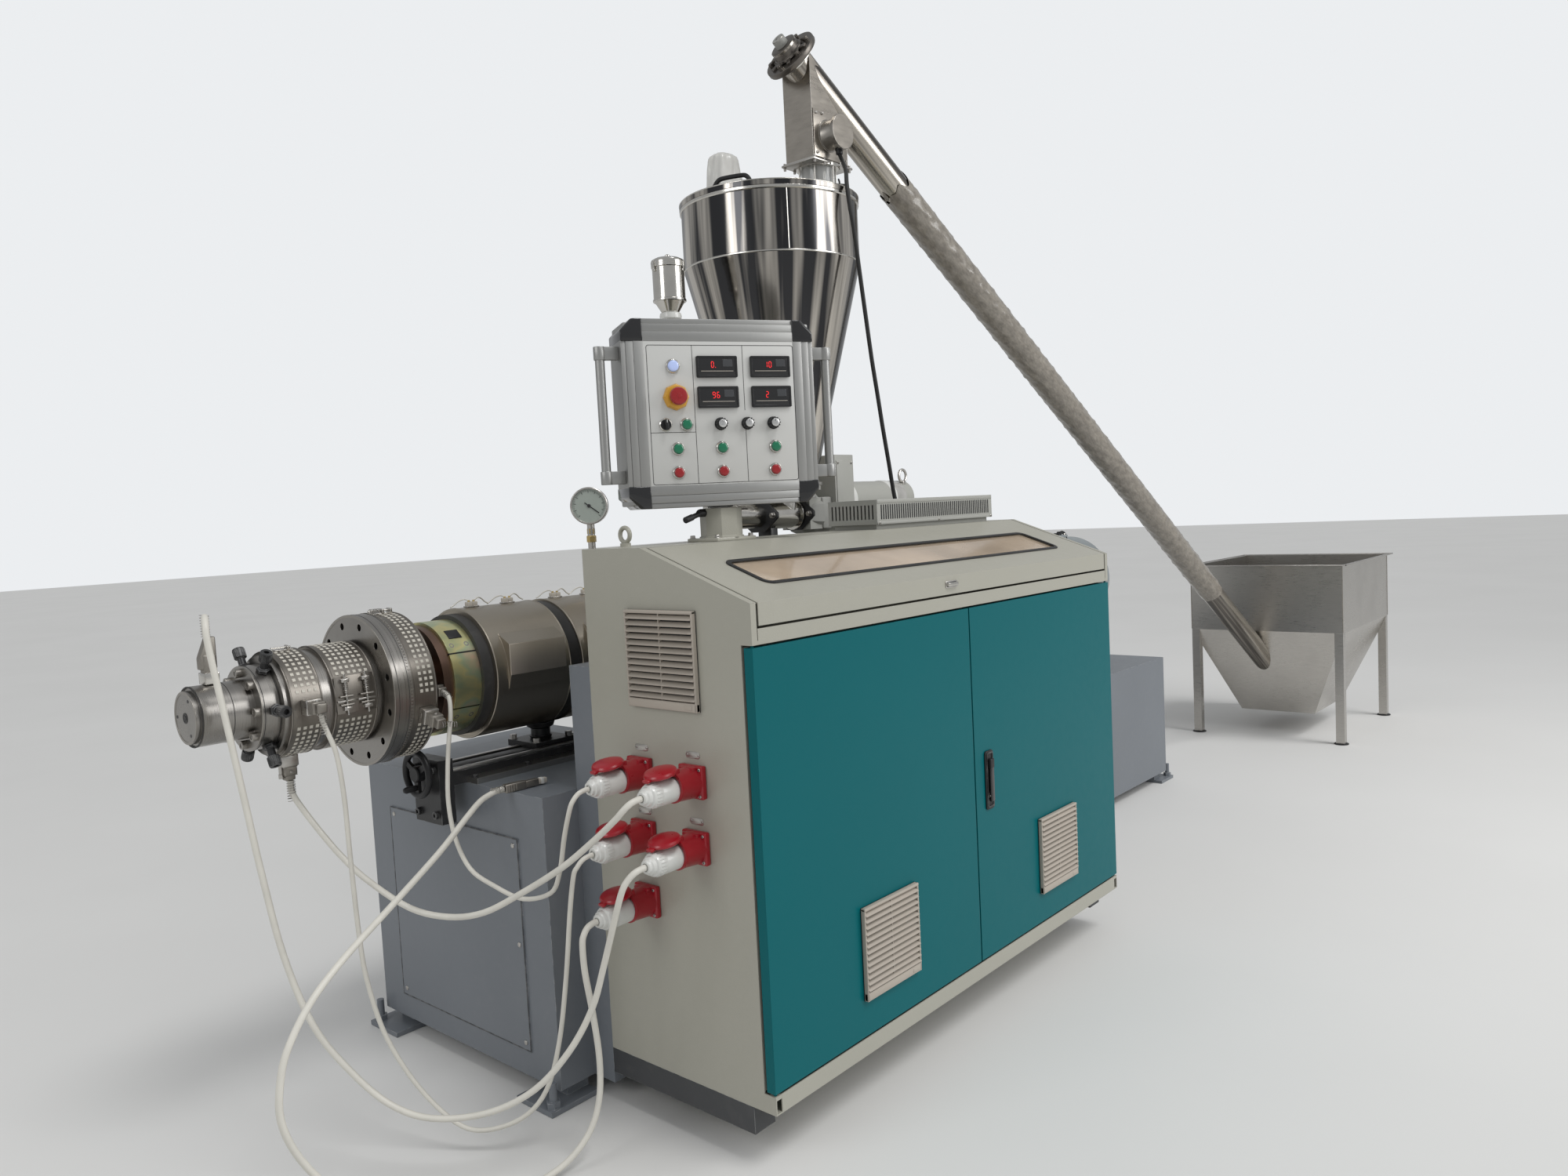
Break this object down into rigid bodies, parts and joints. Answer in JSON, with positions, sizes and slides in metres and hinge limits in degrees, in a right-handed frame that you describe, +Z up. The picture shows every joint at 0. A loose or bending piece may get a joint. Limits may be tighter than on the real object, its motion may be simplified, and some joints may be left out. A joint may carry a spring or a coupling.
{
  "type": "conical twin-screw plastic extruder with screw loader",
  "caption": "Plastic pipe extruder: cabinet with doors and control panel, die head, hopper with feeder, and inclined screw loader with its bin.",
  "frame": {"origin": "middle of the underside of the die-end foot plate on the operator's side, on the floor", "axes": "+X along the machine from the die to the motor, +Y from the operator's side to the far side, +Z up"},
  "size_m": [6.0522, 1.3395, 2.801],
  "materials": {
    "anodised": "anodised",
    "black_plastic": "matte",
    "black_steel": "oiled",
    "bright_steel": "ground",
    "brown_steel": "heat tinted",
    "cabinet_beige": "hammered",
    "cable_black": "matte",
    "cable_white": "matte",
    "cast_plug": "cast",
    "clear_plastic": "clear",
    "cover_taupe": "brushed",
    "dark_grey": "satin",
    "dark_steel": "matte",
    "door_teal": "satin",
    "film": "stretch film",
    "frame_grey": "satin",
    "machine_grey": "satin",
    "plug_white": "gloss",
    "polished_steel": "mirror polished",
    "socket_red": "gloss",
    "stainless": "brushed",
    "turned_steel": "turned",
    "vent_beige": "matte",
    "window_clear": "clear",
    "zinc_gold": "zinc chromate"
  },
  "bodies": {
    "machine": {"main_frame": "frame_grey", "bench": "frame_grey", "feet": "frame_grey", "slide_bed": "black_steel", "slide_ledges": "bright_steel", "support_post": "black_steel", "barrel": "dark_steel", "barrel_covers": "cover_taupe", "clamp_ring": "zinc_gold", "clamp_flange": "brown_steel", "die_flange": "turned_steel", "flange_heater": "turned_steel", "die_body": "turned_steel", "heater_bands": "stainless", "centring_bolts": "black_steel", "mandrel": "turned_steel", "heater_connectors": "cast_plug", "gearbox": "machine_grey", "main_motor": "machine_grey", "motor_feet": "machine_grey", "vacuum_gauge": "stainless", "vent_cup": "polished_steel", "hopper_shell": "polished_steel", "hopper_lid": "polished_steel", "vent_sock": "film", "feeder_body": "polished_steel", "feeder_drive": "machine_grey", "loader_spool": "clear_plastic", "loader_head": "polished_steel", "loader_tube": "polished_steel", "loader_wrap": "film", "loader_bin": "stainless", "bin_legs": "stainless", "cabinet_left": "cabinet_beige", "cabinet_right": "cabinet_beige", "cabinet_back": "cabinet_beige", "cabinet_top": "cabinet_beige", "base_beams": "dark_grey", "side_vent": "vent_beige", "sockets": "socket_red", "plugs": "plug_white", "slotted_guard": "machine_grey", "panel_post": "cabinet_beige", "spare_connector": "cast_plug", "cable_flange": "cable_white", "cable_under": "cable_white", "cable_band": "cable_white", "cable_mandrel": "cable_white", "cable_spare": "cable_white", "cable_loader": "cable_black"},
    "door_left": {"door_left": "door_teal", "vent_left_door": "vent_beige"},
    "door_right": {"door_right": "door_teal", "vent_right_door": "vent_beige", "door_handle": "black_plastic"},
    "lid": {"lid_frame": "cabinet_beige", "window_pane": "window_clear"},
    "panel": {"panel_box": "anodised", "panel_controls": "black_plastic"},
    "handwheel": {"handwheel": "black_plastic"}
  },
  "joints": [
    {"name": "door_left_hinge", "type": "hinge", "parent": "machine", "child": "door_left", "pos_m": [0.078, -0.6025, 0.6], "axis": [0, 0, -1], "range_deg": [0, 100]},
    {"name": "door_right_hinge", "type": "hinge", "parent": "machine", "child": "door_right", "pos_m": [1.621, -0.6025, 0.6], "axis": [0, 0, 1], "range_deg": [0, 100]},
    {"name": "lid_hinge", "type": "hinge", "parent": "machine", "child": "lid", "pos_m": [0.849, -0.3185, 1.23], "axis": [-1, 0, 0], "range_deg": [0, 50]},
    {"name": "panel_swivel", "type": "hinge", "parent": "machine", "child": "panel", "pos_m": [0.403, -0.2235, 1.33], "axis": [0, 0, -1], "range_deg": [-28.6, 15]},
    {"name": "handwheel_turn", "type": "hinge", "parent": "machine", "child": "handwheel", "pos_m": [-0.104, 0.2955, 0.737], "axis": [1, 0, 0], "continuous": true}
  ]
}
